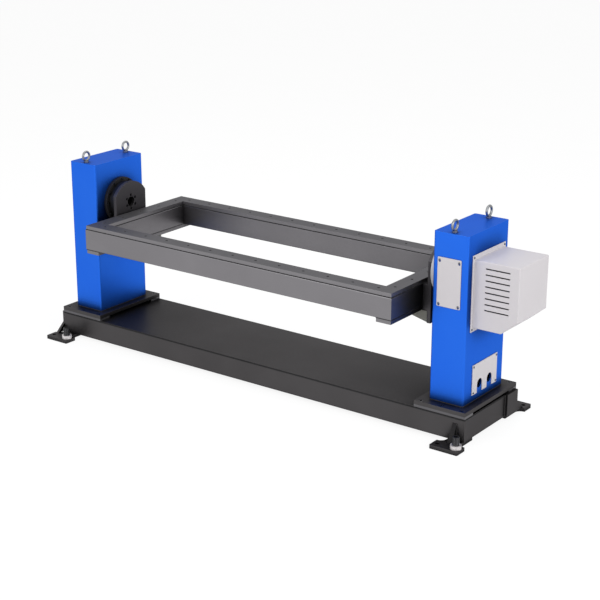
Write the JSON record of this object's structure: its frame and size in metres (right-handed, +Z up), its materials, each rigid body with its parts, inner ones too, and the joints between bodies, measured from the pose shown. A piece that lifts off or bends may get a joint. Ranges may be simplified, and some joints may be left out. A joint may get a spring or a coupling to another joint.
{
  "type": "welding positioner",
  "caption": "Headstock and tailstock welding positioner: a rectangular fixture frame that turns between two posts on a steel base.",
  "frame": {"origin": "on the floor, under the middle of the overall length and depth", "axes": "+X along the turning axis towards the driven post, +Y to the back, +Z up"},
  "size_m": [2.9276, 0.808, 1.0999],
  "materials": {
    "base_paint": "satin dark grey paint",
    "post_paint": "satin blue paint",
    "cover_paint": "satin light grey paint",
    "frame_paint": "satin grey paint",
    "fixture_steel": "machined and oiled",
    "arm_paint": "satin dark grey paint",
    "rib_paint": "satin grey paint",
    "housing_paint": "satin dark grey paint",
    "spindle_steel": "blackened steel",
    "reducer_paint": "satin light grey paint",
    "machined_steel": "turned",
    "bearing_steel": "ground",
    "gear_steel": "hobbed",
    "rotor_steel": "laminated core",
    "motor_paint": "satin black paint",
    "adapter_aluminium": "machined",
    "black_screws": "black oxide",
    "bright_screws": "zinc plated",
    "levelling_steel": "zinc plated",
    "nut_zinc": "bright zinc",
    "eye_zinc": "galvanised"
  },
  "bodies": {
    "stand": {"access_cover": "cover_paint", "access_cover_screws": "bright_screws", "base_cross_ribs": "base_paint", "base_front_channel": "base_paint", "base_left_end_plate": "base_paint", "base_rear_channel": "base_paint", "base_right_end_plate": "base_paint", "base_top_plate": "base_paint", "cable_plate": "cover_paint", "end_gusset_front_left": "base_paint", "end_gusset_rear_right": "base_paint", "foot_plate_front_left": "base_paint", "foot_plate_front_right": "base_paint", "foot_plate_rear_left": "base_paint", "foot_plate_rear_right": "base_paint", "hood_and_cable_screws": "bright_screws", "left_post": "post_paint", "left_post_flange": "base_paint", "levelling_lock_nuts": "nut_zinc", "levelling_screws": "levelling_steel", "lifting_eyes": "eye_zinc", "motor_adapter_plate": "adapter_aluminium", "motor_casing": "motor_paint", "motor_hood": "cover_paint", "motor_rear_cover": "motor_paint", "motor_screws": "black_screws", "output_bearing": "bearing_steel", "post_flange_screws": "black_screws", "post_pads": "base_paint", "reducer_case": "reducer_paint", "reducer_screws": "black_screws", "right_post": "post_paint", "right_post_flange": "base_paint", "side_gusset_front_right": "base_paint", "side_gusset_rear_left": "base_paint", "tail_bearing_housing": "housing_paint", "tail_bearings": "bearing_steel", "tail_housing_screws": "black_screws"},
    "turning_frame": {"frame_front_rail": "frame_paint", "frame_rear_rail": "frame_paint", "frame_left_rail": "frame_paint", "frame_right_rail": "frame_paint", "fixture_strip_front": "fixture_steel", "fixture_strip_rear": "fixture_steel", "fixture_strip_left": "fixture_steel", "fixture_strip_right": "fixture_steel", "lower_strip_left": "fixture_steel", "lower_strip_right": "fixture_steel", "frame_spacer_left": "arm_paint", "frame_spacer_right": "arm_paint", "arm_plate_left": "arm_paint", "arm_plate_right": "arm_paint", "arm_plate_screws": "black_screws", "arm_ribs": "rib_paint", "tail_spindle": "spindle_steel", "tail_spindle_nut": "machined_steel", "output_flange": "machined_steel"},
    "centre_gear": {"centre_gear": "gear_steel"},
    "motor_rotor": {"motor_rotor": "rotor_steel", "motor_pinion": "gear_steel"}
  },
  "joints": [
    {"name": "frame_turn", "type": "hinge", "parent": "stand", "child": "turning_frame", "pos_m": [-0.07625, 0, 0.8], "axis": [1, 0, 0], "range_deg": [-180, 180]},
    {"name": "centre_gear_spin", "type": "hinge", "parent": "stand", "child": "centre_gear", "pos_m": [1.12375, 0, 0.8], "axis": [1, 0, 0], "range_deg": [-7200, 7200]},
    {"name": "motor_spin", "type": "hinge", "parent": "stand", "child": "motor_rotor", "pos_m": [1.23275, 0, 0.73], "axis": [1, 0, 0], "range_deg": [-18000, 18000]}
  ],
  "couplings": [
    {"joint": "centre_gear_spin", "follows": "frame_turn", "ratio": 40},
    {"joint": "motor_spin", "follows": "frame_turn", "ratio": -100}
  ]
}
